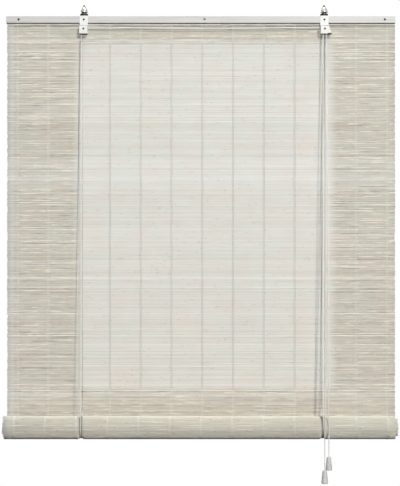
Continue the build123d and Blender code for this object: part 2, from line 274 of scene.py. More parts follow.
# the grain runs along the rail, and the paint is a little thinner in patches
grain = stretched_noise(tree, place, (6.0, 260.0, 260.0), detail=6.0)
patches = stretched_noise(tree, place, (9.0, 30.0, 40.0), detail=3.0, offset=(3.1, 0.0, 0.0))
grain_colour = ramp(
    tree,
    grain,
    [(0.25, (0.48, 0.47, 0.45)), (0.48, (0.585, 0.58, 0.565)), (0.8, (0.635, 0.63, 0.62))],
)
patch_colour = ramp(tree, patches, [(0.3, (0.95, 0.95, 0.94)), (0.7, (1.0, 1.0, 1.0))])
painted_colour = multiply_colours(tree, grain_colour, patch_colour)
# painted shade inside each screw hole, coloured as near-black bare wood, and the lifted ring round its
# mouth
hole_half_span = frame["record"]["mounts"][0]["dims"]["spacing_x_mm"] / 2000
middle_hole_x = 0.0064
hole_places = (-hole_half_span, middle_hole_x, hole_half_span)
hole_radius = 0.0025
split = split_place(tree, place)
facing = add_node(tree, "ShaderNodeCombineXYZ")
tree.links.new(split.outputs["X"], facing.inputs["X"])
tree.links.new(split.outputs["Z"], facing.inputs["Z"])
nearest = None
for hole_x in hole_places:
    away = add_node(tree, "ShaderNodeVectorMath", operation="DISTANCE")
    away.inputs[1].default_value = (hole_x, 0.0, 0.0)
    tree.links.new(facing.outputs[0], away.inputs[0])
    if nearest is None:
        nearest = away.outputs["Value"]
    else:
        nearest = math_node(tree, "MINIMUM", nearest, away.outputs["Value"])
# 0.25 on the ramp is the hole's wall
hole_shade_and_ring_colour = ramp(
    tree,
    math_node(tree, "MULTIPLY", nearest, 0.25 / hole_radius),
    [(0.262, (0.10, 0.085, 0.07)), (0.268, (0.80, 0.79, 0.77)), (0.34, (1.0, 1.0, 1.0))],
)
rail_colour = multiply_colours(tree, painted_colour, hole_shade_and_ring_colour)
tree.links.new(rail_colour, shader.inputs["Base Color"])
bump(tree, shader, grain, 0.0004, 0.5)
dress("head_rail", paint)


# ------------------------------------------------------------------ woven sheet, hanging part
# Split bamboo slats a little over 2 mm wide, whitewashed, held by thirteen twined warp lines.
# The top slats are gripped in the rail's saw kerf; the sheet runs down into the roll.
slat_pitch = 0.00236
slat_thick = 0.00105
slat_sides = 6
slat_bow = 0.00016
slat_waver = 0.00012
end_spread = 0.0011
end_overhang = 0.0006
lean_length = 0.06
warp_spacing = 0.07175
warp_first = 0.0242
warp_count = 13
weave_low, weave_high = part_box("fabric_drop")
roll_low, roll_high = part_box("fabric_roll")
roll_centre = (roll_low + roll_high) / 2
roll_radius = (roll_high.z - roll_low.z) / 2
weave_y = (weave_low.y + weave_high.y) / 2
weave_left, weave_right = weave_low.x, weave_high.x
foot_above_axis = 0.0015
weave_foot = roll_centre.z + foot_above_axis
tone_spread = 0.62
tone_turnover = 0.6
warp_places = [weave_left + warp_first + i * warp_spacing for i in range(warp_count)]
thread_radius = 0.00042
roll_surface = roll_radius - slat_thick * 0.5 - thread_radius


def deselect_all():
    for obj in bpy.context.selected_objects:
        obj.select_set(False)


def model_slat(segments):
    """A straight slat along X, one unit to a segment, one unit wide and thick: points and faces."""
    deselect_all()
    bpy.ops.mesh.primitive_cylinder_add(
        vertices=slat_sides, radius=0.5, depth=1.0, rotation=(0.0, math.radians(90.0), 0.0)
    )
    piece = bpy.context.object
    bpy.ops.object.transform_apply(location=True, rotation=True, scale=True)
    bpy.ops.object.mode_set(mode="EDIT")
    bpy.ops.mesh.select_mode(type="FACE")
    bpy.ops.mesh.select_all(action="DESELECT")
    bpy.ops.object.mode_set(mode="OBJECT")
    for face in piece.data.polygons:
        face.select = face.normal.x > 0.9
    bpy.ops.object.mode_set(mode="EDIT")
    for _ in range(segments - 1):
        bpy.ops.mesh.extrude_region_move(TRANSFORM_OT_translate={"value": (1.0, 0.0, 0.0)})
    bpy.ops.mesh.select_all(action="SELECT")
    bpy.ops.mesh.normals_make_consistent(inside=False)
    bpy.ops.object.mode_set(mode="OBJECT")
    points = np.array([v.co for v in piece.data.vertices])
    points[:, 0] = np.round(points[:, 0] - points[:, 0].min())
    # extrude numbers its points and faces in no fixed order, so both are put in order here
    order = sorted(range(len(points)), key=lambda i: tuple(np.round(points[i], 4)))
    number = {old: new for new, old in enumerate(order)}
    faces = []
    for polygon in piece.data.polygons:
        face = [number[i] for i in polygon.vertices]
        first = face.index(min(face))
        faces.append(tuple(face[first:] + face[:first]))
    bpy.data.objects.remove(piece)
    return points[order], sorted(faces)


def build_mesh(name, blocks, tones=None, seeds=None):
    """One object from blocks of (points, faces), with each block's tone and seed on its points."""
    points = np.concatenate([b[0] for b in blocks])
    faces, start = [], 0
    for block_points, block_faces in blocks:
        faces += [tuple(i + start for i in f) for f in block_faces]
        start += len(block_points)
    mesh = bpy.data.meshes.new(name)
    mesh.from_pydata(points.tolist(), [], faces)
    counts = [len(b[0]) for b in blocks]
    for label, values in (("slat_tone", tones), ("slat_seed", seeds)):
        if values is not None:
            layer = mesh.attributes.new(label, "FLOAT", "POINT")
            layer.data.foreach_set("value", np.repeat(values, counts).astype(np.float32))
    mesh.update()
    mesh.shade_smooth()
    piece = bpy.data.objects.new(name, mesh)
    bpy.context.scene.collection.objects.link(piece)
    return piece


def wander(chance, x, waves):
    """A smooth random line along x: a sum of a few sine waves, about 1 high."""
    total = np.zeros_like(x)
    for length in waves:
        total += np.sin(2 * np.pi * x / length + chance.uniform(0, 2 * np.pi)) * chance.uniform(0.4, 1.0)
    return total / len(waves)


def lay_slat(shape, stations, left_end, right_end):
    """The slat's points with its segments spread over the stations between its two ends."""
    points = shape.copy()
    places = np.array([left_end] + list(stations) + [right_end])
    points[:, 0] = places[points[:, 0].astype(int)]
    return points


def slat_tone(own, last):
    """A slat's tone: neighbours differ, because the weaver turns every other slat end for end."""
    return 0.5 + own - tone_turnover * last


chance = np.random.default_rng(20)
drop_shape, drop_faces = model_slat(len(warp_places) + 1)
drop_blocks, drop_tones = [], []
row_heights, row_depths = [], []
last_tone = 0.0
z = weave_high.z - slat_pitch / 2
while z > weave_foot:
    # over the last stretch the sheet leans back onto the roll's surface
    lean = np.clip((roll_centre.z + lean_length - z) / lean_length, 0.0, 1.0) ** 2
    depth = weave_y + (roll_centre.y + roll_surface - weave_y) * lean
    row_heights.append(z)
    row_depths.append(depth)
    own_tone = chance.normal(0.0, tone_spread)
    wide = slat_pitch * chance.uniform(0.72, 0.97)
    thick = slat_thick * chance.uniform(0.85, 1.1)
    points = lay_slat(
        drop_shape,
        warp_places,
        weave_left + abs(chance.normal(0.0, end_spread)) - end_overhang,
        weave_right - abs(chance.normal(0.0, end_spread)) + end_overhang,
    )
    x = points[:, 0]
    points[:, 1] = points[:, 1] * thick + depth + slat_waver * wander(chance, x, (0.31, 0.17, 0.11))
    points[:, 2] = points[:, 2] * wide + z + slat_bow * wander(chance, x, (0.62, 0.33, 0.17))
    drop_blocks.append((points, drop_faces))
    drop_tones.append(slat_tone(own_tone, last_tone))
    last_tone = own_tone
    z -= slat_pitch * chance.uniform(0.94, 1.06)
# painted light and shade on the slats just under the rail: pale tones at the kerf lift the rail's shadow,
# then a dark tone paints a shade line
painted_light_foot, painted_shade_foot = -0.0135, -0.0170
for row, height in enumerate(row_heights):
    if height > painted_light_foot:
        drop_tones[row] = 2.2
    if painted_shade_foot < height < painted_light_foot:
        drop_tones[row] = -2.6
drop_seeds = chance.uniform(0.0, 1.0, len(drop_blocks))
weave_slats = build_mesh("weave_slats", drop_blocks, np.array(drop_tones), drop_seeds)


def inside(tree, value, low, high, softness):
    """1 where value lies between low and high, falling to 0 outside over softness."""
    reach = math_node(
        tree, "MINIMUM", math_node(tree, "SUBTRACT", value, low), math_node(tree, "SUBTRACT", high, value)
    )
    node = add_node(tree, "ShaderNodeMapRange")
    node.inputs["From Min"].default_value = -softness / 2
    node.inputs["From Max"].default_value = softness / 2
    tree.links.new(reach, node.inputs["Value"])
    return node.outputs[0]


def fade_to(tree, colour, target, amount, where=None):
    """The colour, faded to a target colour by an amount: everywhere, or where a mask is 1."""
    node = add_node(tree, "ShaderNodeMix", data_type="RGBA", blend_type="MIX")
    tree.links.new(colour, node.inputs[6])
    node.inputs[7].default_value = (*target, 1.0)
    if where is None:
        node.inputs[0].default_value = amount
    else:
        tree.links.new(math_node(tree, "MULTIPLY", where, amount), node.inputs[0])
    return node.outputs[2]


def window_light_mask(tree, place):
    """1 where the piece hangs in front of the window, where daylight from behind is painted into the
    colour.
    """
    split = split_place(tree, place)
    return math_node(
        tree,
        "MULTIPLY",
        inside(tree, split.outputs["X"], pane_low.x, pane_high.x, 0.02),
        inside(tree, split.outputs["Z"], pane_low.z, pane_high.z, 0.01),
    )


backlit_slat_colour = (0.79, 0.777, 0.733)
edge_wash = (0.90, 0.91, 0.86)
edge_wash_width = 0.016
back_wash_and_painted_light = (0.93, 0.97, 0.95)
groove_shade = (0.12, 0.11, 0.085)
cord_shadow_colour = (0.16, 0.14, 0.10)
lower_warmth = (1.0, 0.972, 0.935)
panel_phase = 5.905
groove_half = 0.0034
cord_shadow_half = 0.0012
cord_shadow_below = 0.0038
cord_shadow_slope = -0.0035


def bamboo_finish(name, translucent, wash_and_painted_light, shaded_groove_places=()):
    """Whitewashed bamboo: streaks along each slat, warm and green-grey patches, knots, open grain, and
    painted light and shade: window light, a paler roll, shaded grooves and a cord's shadow.
    """
    finish, tree, shader, place = new_finish(name, (0.62, 0.60, 0.52), 0.62)
    tone = add_node(tree, "ShaderNodeAttribute", attribute_name="slat_tone").outputs["Fac"]
    seed = add_node(tree, "ShaderNodeAttribute", attribute_name="slat_seed").outputs["Fac"]
    split = split_place(tree, place)
    along, height = split.outputs["X"], split.outputs["Z"]

    # streaks: noise along the slat, 24 turns a metre, different on each slat by its seed
    slat_place = add_node(tree, "ShaderNodeCombineXYZ")
    tree.links.new(math_node(tree, "MULTIPLY", along, 24.0), slat_place.inputs["X"])
    tree.links.new(math_node(tree, "MULTIPLY", seed, 331.0), slat_place.inputs["Y"])
    streak = add_node(tree, "ShaderNodeTexNoise", Scale=1.0, Detail=3.0, Roughness=0.55)
    tree.links.new(slat_place.outputs[0], streak.inputs["Vector"])
    # each slat keeps a tone of its own between two warp lines, where the panel number steps
    panel = math_node(tree, "FLOOR", math_node(tree, "MULTIPLY_ADD", along, 1 / warp_spacing, panel_phase))
    panel_place = add_node(tree, "ShaderNodeCombineXYZ")
    tree.links.new(panel, panel_place.inputs["X"])
    tree.links.new(math_node(tree, "MULTIPLY", seed, 977.0), panel_place.inputs["Y"])
    panel_tone = add_node(tree, "ShaderNodeTexWhiteNoise", noise_dimensions="3D")
    tree.links.new(panel_place.outputs[0], panel_tone.inputs["Vector"])
    # the streak, the slat's tone and the panel's tone together choose a colour on the ramp; its darkest
    # and palest ends are painted shade and painted highlight, for the shadow in gaps where slats bow apart
    # and their lit edges
    total = math_node(tree, "MULTIPLY_ADD", streak.outputs["Fac"], 1.3, -0.36)
    total = math_node(tree, "MULTIPLY_ADD", tone, 0.15, total)
    total = math_node(tree, "MULTIPLY_ADD", panel_tone.outputs["Value"], 0.26, total)
    base = ramp(
        tree,
        total,
        [
            (0.02, (0.16, 0.14, 0.09)),
            (0.20, (0.42, 0.385, 0.285)),
            (0.38, (0.565, 0.525, 0.42)),
            (0.62, (0.625, 0.58, 0.472)),
            (0.80, (0.92, 0.87, 0.74)),
        ],
    )
    patch = stretched_noise(tree, place, (7.0, 3.0, 9.0), detail=1.0, offset=(1.7, 0.0, 0.4))
    warm = stretched_noise(tree, place, (15.0, 6.0, 24.0), detail=2.0, offset=(5.2, 0.0, 2.4))
    cool = ramp(tree, patch, [(0.36, (0.965, 0.985, 0.955)), (0.64, (1.0, 0.985, 0.955))])
    rosy = ramp(tree, warm, [(0.42, (0.99, 1.0, 0.985)), (0.62, (1.0, 0.955, 0.925))])
    # painted light: in front of the window the slats are faded to one even pale tone that stands in for
    # the daylight coming through them
    colour = fade_to(tree, base, backlit_slat_colour, 0.85, window_light_mask(tree, place))
    colour = multiply_colours(tree, colour, cool)
    colour = multiply_colours(tree, colour, rosy)
    # the wash is thicker along the left edge; the roll's slats are faded paler too, partly for a thicker
    # wash on the back, which the roll shows, and partly as painted light that makes up for the roll's
    # weaker lighting
    edge = inside(tree, along, weave_left - 0.05, weave_left + edge_wash_width, 0.010)
    colour = fade_to(tree, colour, edge_wash, 0.6, edge)
    colour = fade_to(tree, colour, back_wash_and_painted_light, wash_and_painted_light)
    # lower down the slats are warmer, where the wash is thinner
    warmth = inside(tree, height, -2.0, -0.66, 0.60)
    warmed = ramp(tree, warmth, [(0.0, (1.0, 1.0, 1.0)), (1.0, lower_warmth)])
    colour = multiply_colours(tree, colour, warmed)
    # painted shade: the grooves that the cords press into the roll are darkened for the shade in them
    for cord_x in shaded_groove_places:
        groove_shade_mask = inside(tree, along, cord_x - groove_half, cord_x + groove_half, 0.0012)
        colour = fade_to(tree, colour, groove_shade, 0.62, groove_shade_mask)
    # painted shadow: a dark line on the slats between the brackets, just below the crossing cord, where
    # its shadow falls
    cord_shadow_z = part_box("left_cross_cord")[1].z - cord_shadow_below
    cord_shadow_height = math_node(tree, "MULTIPLY_ADD", along, cord_shadow_slope, height)
    cord_shadow_mask = math_node(
        tree,
        "MULTIPLY",
        inside(tree, along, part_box("left_bracket")[1].x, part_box("right_bracket")[0].x, 0.004),
        inside(tree, cord_shadow_height, cord_shadow_z - cord_shadow_half, cord_shadow_z + cord_shadow_half, 0.0006),
    )
    colour = fade_to(tree, colour, cord_shadow_colour, 0.75, cord_shadow_mask)
    # knots: a short dark mark across the slat where the cane had a node
    knot_start = math_node(tree, "MULTIPLY", seed, 61.7)
    turn = math_node(tree, "FRACT", math_node(tree, "MULTIPLY_ADD", along, 2.3, knot_start))
    off = math_node(tree, "ABSOLUTE", math_node(tree, "SUBTRACT", turn, 0.5))
    knot = ramp(tree, off, [(0.002, (0.66, 0.60, 0.50)), (0.0075, (1.0, 1.0, 1.0))])
    colour = multiply_colours(tree, colour, knot, 0.7)
    tree.links.new(colour, shader.inputs["Base Color"])

    fibre = stretched_noise(tree, place, (30.0, 900.0, 2600.0), detail=4.0)
    uneven_gloss(tree, shader, fibre, 0.5, 0.75)
    bump(tree, shader, fibre, 0.00012, 0.6)

    # daylight that comes through is paler and more even than the face
    glow = fade_to(tree, colour, (0.74, 0.735, 0.70), 0.6)
    through = add_node(tree, "ShaderNodeBsdfTranslucent")
    tree.links.new(glow, through.inputs["Color"])
    mixed = add_node(tree, "ShaderNodeMixShader")
    mixed.inputs[0].default_value = translucent
    tree.links.new(shader.outputs[0], mixed.inputs[1])
    tree.links.new(through.outputs[0], mixed.inputs[2])
    tree.links.new(mixed.outputs[0], tree.nodes["Material Output"].inputs[0])
    return finish


bamboo = bamboo_finish("whitewashed_bamboo", 0.28, 0.0)
weave_slats.data.materials.append(bamboo)


# ------------------------------------------------------------------ warp lines
# Cotton thread twined in pairs round every slat, two pairs side by side in each of the lines.
thread_sides = 4
column_places = (-0.0014, 0.0014)
twine_shift = 0.0002


def thread_block(centres, across):
    """A thin tube through centres, with across as one axis of each ring: points and faces."""
    centres = np.array(centres)
    run = np.gradient(centres, axis=0)
    run /= np.linalg.norm(run, axis=1)[:, None]
    side = np.tile(np.array(across, float), (len(centres), 1))
    front = np.cross(run, side)
    front /= np.linalg.norm(front, axis=1)[:, None]
    turns = np.arange(thread_sides) * 2 * np.pi / thread_sides
    rings = centres[:, None] + thread_radius * (
        np.cos(turns)[None, :, None] * side[:, None] + np.sin(turns)[None, :, None] * front[:, None]
    )
    points = rings.reshape(-1, 3)
    faces = []
    for ring in range(len(centres) - 1):
        for k in range(thread_sides):
            a = ring * thread_sides + k
            b = ring * thread_sides + (k + 1) % thread_sides
            faces.append((a, a + thread_sides, b + thread_sides, b))
    faces.append(tuple(range(thread_sides)))
    faces.append(tuple((len(centres) - 1) * thread_sides + k for k in reversed(range(thread_sides))))
    return points, faces


stand = slat_thick * 0.5 + thread_radius * 0.7
drop_threads = []
for warp in warp_places:
    for column in column_places:
        for phase in (0, 1):
            centres = []
            for row, (z, depth) in enumerate(zip(row_heights, row_depths)):
                way = 1 if (row + phase) % 2 else -1
                shift = 0.00035 * math.sin(z * 61 + warp * 40) + 0.0002 * math.sin(z * 173 + column * 9e3)
                centres.append((warp + column + shift + twine_shift * way, depth + way * stand, z))
            drop_threads.append(thread_block(centres, (1, 0, 0)))
warp_threads = build_mesh("warp_threads", drop_threads)
cotton, tree, shader, place = new_finish("warp_cotton", (0.84, 0.82, 0.76), 0.9)
fuzz = stretched_noise(tree, place, (900.0, 900.0, 1500.0), detail=2.0)
fuzz_colour = ramp(tree, fuzz, [(0.3, (0.76, 0.74, 0.67)), (0.7, (0.90, 0.885, 0.83))])
# painted shade: in front of the window the thread is darkened, to stand dark against the daylight painted
# into the slats round it
backlit_thread_shade = (0.50, 0.485, 0.46)
thread_colour = fade_to(tree, fuzz_colour, backlit_thread_shade, 0.8, window_light_mask(tree, place))
tree.links.new(thread_colour, shader.inputs["Base Color"])
bump(tree, shader, fuzz, 0.0001, 0.6)
warp_threads.data.materials.append(cotton)

for piece in (weave_slats, warp_threads):
    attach(piece, "rail")
    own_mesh(piece)
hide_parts("fabric_drop")


# ------------------------------------------------------------------ rolled part of the sheet
# The lower half of the same sheet, wound up on itself from the bottom edge. Its turns show as a
# spiral at the ends, and each lift cord draws a waist into it.
turn_pitch = 0.0028
wound_length = 0.815
pinch_depth = 0.0034
pinch_reach = 0.0040
smallest_turn = 0.0022
inner_sink = 0.0012
roll_end_spread = 0.0013
roll_warp_shift = -0.0035
cord_places = [
    (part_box(f"{side}_cradle_cord")[0].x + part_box(f"{side}_cradle_cord")[1].x) / 2
    for side in ("left", "right")
]
stations_off_cord = (0.0, 0.0015, 0.003, 0.0045, 0.0065, 0.010, 0.016)
beside_cord = [-off for off in stations_off_cord[:0:-1]] + list(stations_off_cord)
outer_stations = sorted(
    [place for place in warp_places if min(abs(place - cord) for cord in cord_places) > 0.02]
    + [cord + off for cord in cord_places for off in beside_cord]
)
outer_shape, outer_faces = model_slat(len(outer_stations) + 1)
inner_shape, inner_faces = model_slat(1)
roll_blocks, roll_tones = [], []
outer_turn = 2 * math.pi
angle, wound = 0.0, 0.0
last_tone = 0.0
outer_thread_rows = []
while wound < wound_length:
    outer = angle < outer_turn - 0.5 * slat_pitch / roll_surface
    # the angle starts at the roll's back and goes under it, so half a turn is its front
    radius = roll_surface if outer else roll_surface - turn_pitch * angle / outer_turn
    if radius < smallest_turn:
        break
    own_tone = chance.normal(0.0, tone_spread)
    wide = slat_pitch * chance.uniform(0.74, 0.97)
    thick = slat_thick * chance.uniform(0.9, 1.15)
    # the turns wander sideways as they are wound, so the roll's ends are uneven
    drift = -0.0035 * math.sin(0.35 * angle) - 0.0015
    points = lay_slat(
        outer_shape if outer else inner_shape,
        outer_stations if outer else [],
        weave_left + drift + chance.normal(0.0, roll_end_spread),
        weave_right + drift + chance.normal(0.0, roll_end_spread),
    )
    x = points[:, 0]
    around = points[:, 2] * wide
    out = points[:, 1] * thick + radius
    if outer:
        around = around + 0.0003 * wander(chance, x, (0.52, 0.29, 0.17))
        out = out + slat_waver * wander(chance, x, (0.31, 0.17, 0.11))
        # each lift cord pulls a waist in under the roll, that opens out and fades above its front
        fade = np.clip((angle - 1.03 * math.pi) / 1.0, 0.0, 1.0)
        reach = pinch_reach * (1.0 + 2.2 * fade)
        for cord in cord_places:
            out = out - pinch_depth * (1.0 - fade) * np.exp(-((np.abs(x - cord) / reach) ** 2.4))
    else:
        # the turns just below the outer one are sunk, to stay under the waists that the cords draw
        out = out - np.where(radius > roll_surface - 2.5 * turn_pitch, inner_sink, 0.0)
    turned = -(angle + around / max(radius, 0.003))
    points[:, 1] = roll_centre.y + out * np.cos(turned)
    points[:, 2] = roll_centre.z + out * np.sin(turned)
    roll_blocks.append((points, outer_faces if outer else inner_faces))
    roll_tones.append(slat_tone(own_tone, last_tone))
    last_tone = own_tone
    if outer:
        outer_thread_rows.append(angle)
    step = slat_pitch * chance.uniform(0.95, 1.05)
    angle += step / radius
    wound += step
roll_seeds = chance.uniform(0.0, 1.0, len(roll_blocks))
roll_slats = build_mesh("roll_slats", roll_blocks, np.array(roll_tones), roll_seeds)
roll_slats.data.materials.append(bamboo_finish("whitewashed_bamboo_roll", 0.08, 0.42, cord_places))

roll_threads = []
for warp in warp_places:
    warp_on_roll = warp + roll_warp_shift
    for column in column_places:
        for phase in (0, 1):
            centres = []
            rows = outer_thread_rows + [outer_thread_rows[0] + outer_turn]
            for row, angle in enumerate(rows):
                way = 1 if (row + phase) % 2 else -1
                reach = roll_surface + way * stand
                sway = 0.0003 * math.sin(angle * 3 + warp * 50)
                centres.append(
                    (
                        warp_on_roll + column + twine_shift * way + sway,
                        roll_centre.y + reach * math.cos(-angle),
                        roll_centre.z + reach * math.sin(-angle),
                    )
                )
            roll_threads.append(thread_block(centres, (1, 0, 0)))
roll_warp_threads = build_mesh("roll_warp_threads", roll_threads)
roll_warp_threads.data.materials.append(cotton)
for piece in (roll_slats, roll_warp_threads):
    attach(piece, "roll")
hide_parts("fabric_roll")


# ------------------------------------------------------------------ brackets
# Folded sheet steel, stove-lacquered white: a plate screwed to the rail's face with a flange over
# its top, and a pulley housing below. The right one has a leaning cheek for the cord lock.
fold_above_axle = 0.0080
fold_shade = (0.10, 0.095, 0.085)
foot_shade = (0.16, 0.155, 0.14)
lip_shade = (0.02, 0.02, 0.02)
lip_width = 0.0095
lacquer, tree, shader, place = new_finish("white_lacquer", (0.80, 0.80, 0.78), 0.28)
orange_peel = stretched_noise(tree, place, (700.0, 700.0, 700.0), detail=2.0)
dust = stretched_noise(tree, place, (120.0, 120.0, 120.0), detail=5.0)
dust_colour = ramp(tree, dust, [(0.3, (0.74, 0.735, 0.70)), (0.62, (0.83, 0.83, 0.815))])
split = split_place(tree, place)
across, height = split.outputs["X"], split.outputs["Z"]
# painted shade: the fold above the housing, along its bottom edge and under the lock's lip are darkened
# for the shade there
fold_z = (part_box("left_pulley")[0].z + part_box("left_pulley")[1].z) / 2 + fold_above_axle
housing_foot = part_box("right_bracket")[0].z
fold_wave = math_node(tree, "SINE", math_node(tree, "MULTIPLY", across, 330.0))
fold_height = math_node(tree, "MULTIPLY_ADD", fold_wave, 0.0003, height)
fold = inside(tree, fold_height, fold_z - 0.0009, fold_z + 0.0007, 0.0008)
foot = inside(tree, height, housing_foot - 0.002, housing_foot + 0.0011, 0.0008)
lip_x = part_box("right_bracket")[1].x
lip = math_node(
    tree,
    "MULTIPLY",
    inside(tree, across, lip_x - lip_width, lip_x + 0.01, 0.002),
    inside(tree, height, housing_foot - 0.002, housing_foot + 0.0021, 0.0008),
)
lacquer_colour = fade_to(tree, dust_colour, fold_shade, 0.8, fold)
lacquer_colour = fade_to(tree, lacquer_colour, foot_shade, 0.7, foot)
lacquer_colour = fade_to(tree, lacquer_colour, lip_shade, 1.0, lip)
tree.links.new(lacquer_colour, shader.inputs["Base Color"])
shader.inputs["Coat Weight"].default_value = 0.4
shader.inputs["Coat Roughness"].default_value = 0.12
bump(tree, shader, orange_peel, 0.00008, 0.35)
for side in ("left", "right"):
    dress(f"{side}_bracket", lacquer)


# ------------------------------------------------------------------ small steel parts
# The finial studs, screw eyes and lock roller are zinc plated and slightly dulled; the bracket
# screws and pulley axles are blackened. All are turned or drawn steel, held in the rail or housings.
zinc, tree, shader, place = new_finish("dull_zinc", (0.30, 0.295, 0.28), 0.42, 0.9)
scuff = stretched_noise(tree, place, (500.0, 500.0, 500.0), detail=4.0)
mottle(tree, shader, scuff, [(0.3, (0.16, 0.155, 0.145)), (0.7, (0.36, 0.355, 0.34))])
uneven_gloss(tree, shader, scuff, 0.3, 0.55)
for side in ("left", "right"):
    for kind in ("finial_stud", "screw_eye"):
        dress(f"{side}_{kind}", zinc)

blacked, tree, shader, place = new_finish("blackened_steel", (0.05, 0.05, 0.048), 0.5, 0.5)
wear = stretched_noise(tree, place, (900.0, 900.0, 900.0), detail=3.0)
mottle(tree, shader, wear, [(0.35, (0.03, 0.03, 0.028)), (0.75, (0.11, 0.108, 0.10))])
bump(tree, shader, wear, 0.00005, 0.3)
for side in ("left", "right"):
    for kind in ("bracket_screw", "pulley_axle"):
        dress(f"{side}_{kind}", blacked)

# the lock roller is knurled so that the cords grip it: two sets of helical ridges round its axis
knurled, tree, shader, place = new_finish("knurled_zinc", (0.30, 0.295, 0.28), 0.42, 0.9)
roller_low, roller_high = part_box("lock_roller")
roller_middle = (roller_low + roller_high) / 2
split = split_place(tree, place)
roller_turn = math_node(
    tree,
    "ARCTAN2",
    math_node(tree, "SUBTRACT", split.outputs["Z"], roller_middle.z),
    math_node(tree, "SUBTRACT", split.outputs["X"], roller_middle.x),
)
ridges = []
ridges_round = 18.0
for way in (7000.0, -7000.0):
    along_axis = math_node(tree, "MULTIPLY", split.outputs["Y"], way)
    helix = math_node(tree, "MULTIPLY_ADD", roller_turn, ridges_round, along_axis)
    ridges.append(math_node(tree, "SINE", helix))
knurl = math_node(tree, "MAXIMUM", ridges[0], ridges[1])
mottle(tree, shader, knurl, [(0.1, (0.14, 0.135, 0.125)), (0.9, (0.38, 0.375, 0.36))])
bump(tree, shader, knurl, 0.0003, 0.9)
dress("lock_roller", knurled)


# ------------------------------------------------------------------ pulley wheels
# Moulded nylon wheels, cream with age, with a groove polished by the cord.
nylon, tree, shader, place = new_finish("cream_nylon", (0.62, 0.60, 0.53), 0.45)
haze = stretched_noise(tree, place, (300.0, 300.0, 300.0), detail=3.0)
mottle(tree, shader, haze, [(0.3, (0.55, 0.53, 0.46)), (0.7, (0.68, 0.66, 0.60))])
bump(tree, shader, haze, 0.0001, 0.3)
for wheel in ("left_pulley", "right_front_pulley", "right_rear_pulley"):
    dress(wheel, nylon)


# ------------------------------------------------------------------ finials
# A turned acorn nut, nickel plated, on a black rubber washer over each bracket.
nickel, tree, shader, place = new_finish("worn_nickel", (0.50, 0.495, 0.47), 0.3, 0.55)
cloud = stretched_noise(tree, place, (260.0, 260.0, 260.0), detail=5.0)
rings = stretched_noise(tree, place, (40.0, 40.0, 1800.0), detail=2.0)
cloud_colour = ramp(
    tree,
    cloud,
    [(0.3, (0.40, 0.405, 0.36)), (0.5, (0.62, 0.63, 0.57)), (0.75, (0.76, 0.77, 0.73))],
)
# the ball at the tip is darkened, and tarnish darkens the groove above the base
split = split_place(tree, place)
finial_low, finial_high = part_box("left_finial")
ball_height = 0.0052
groove_height = 0.0034
tip_and_groove_dark = (0.05, 0.05, 0.045)
ball = inside(tree, split.outputs["Z"], finial_high.z - ball_height, finial_high.z + 0.01, 0.0014)
groove = inside(tree, split.outputs["Z"], finial_low.z - 0.01, finial_low.z + groove_height, 0.0012)
nickel_colour = fade_to(tree, cloud_colour, tip_and_groove_dark, 0.85, ball)
nickel_colour = fade_to(tree, nickel_colour, tip_and_groove_dark, 0.75, groove)
tree.links.new(nickel_colour, shader.inputs["Base Color"])
uneven_gloss(tree, shader, cloud, 0.16, 0.4)
bump(tree, shader, rings, 0.00006, 0.4)

rubber, tree, shader, place = new_finish("black_rubber", (0.012, 0.012, 0.011), 0.6)
bloom = stretched_noise(tree, place, (400.0, 400.0, 400.0), detail=4.0)
mottle(tree, shader, bloom, [(0.35, (0.008, 0.008, 0.008)), (0.75, (0.03, 0.03, 0.028))])
bump(tree, shader, bloom, 0.0001, 0.4)
for side in ("left", "right"):
    dress(f"{side}_finial", nickel)
    dress(f"{side}_finial_washer", rubber)


# ------------------------------------------------------------------ cords
# Braided polyester cord, 2.2 mm, off-white. Each side has one cord: it is knotted to a screw eye
# behind the sheet, goes under the roll, up the front, over the pulleys and down to its drop.
cord_radius = 0.0011
cord_sides = 10
ring_step = 0.0016
cradle_gap = 0.0002
cradle_radius = roll_surface - pinch_depth + slat_thick / 2 + cord_radius + cradle_gap
braid_turns = 4.0
braid_pitch = 620.0


def smooth_line(name, points):
    """The smooth line of a cord: a NURBS spline with the route's points as its control points."""
    curve = bpy.data.curves.new(name, "CURVE")
    curve.dimensions = "3D"
    curve.resolution_u = 16
    spline = curve.splines.new("NURBS")
    spline.points.add(len(points) - 1)
    for target, point in zip(spline.points, points):
        target.co = (*point, 1.0)
    spline.order_u = 3
    spline.use_endpoint_u = True
    spline.resolution_u = 16
    holder = bpy.data.objects.new(name, curve)
    mesh = bpy.data.meshes.new_from_object(holder)
    line = np.array([v.co for v in mesh.vertices])
    bpy.data.objects.remove(holder)
    bpy.data.meshes.remove(mesh)
    bpy.data.curves.remove(curve)
    return line


def evenly(line, step):
    """The line's points again, about step apart, with their places along it."""
    lengths = np.concatenate([[0], np.cumsum(np.linalg.norm(np.diff(line, axis=0), axis=1))])
    at = np.linspace(0, lengths[-1], max(2, int(math.ceil(lengths[-1] / step)) + 1))
    return np.stack([np.interp(at, lengths, line[:, k]) for k in range(3)], axis=1), at


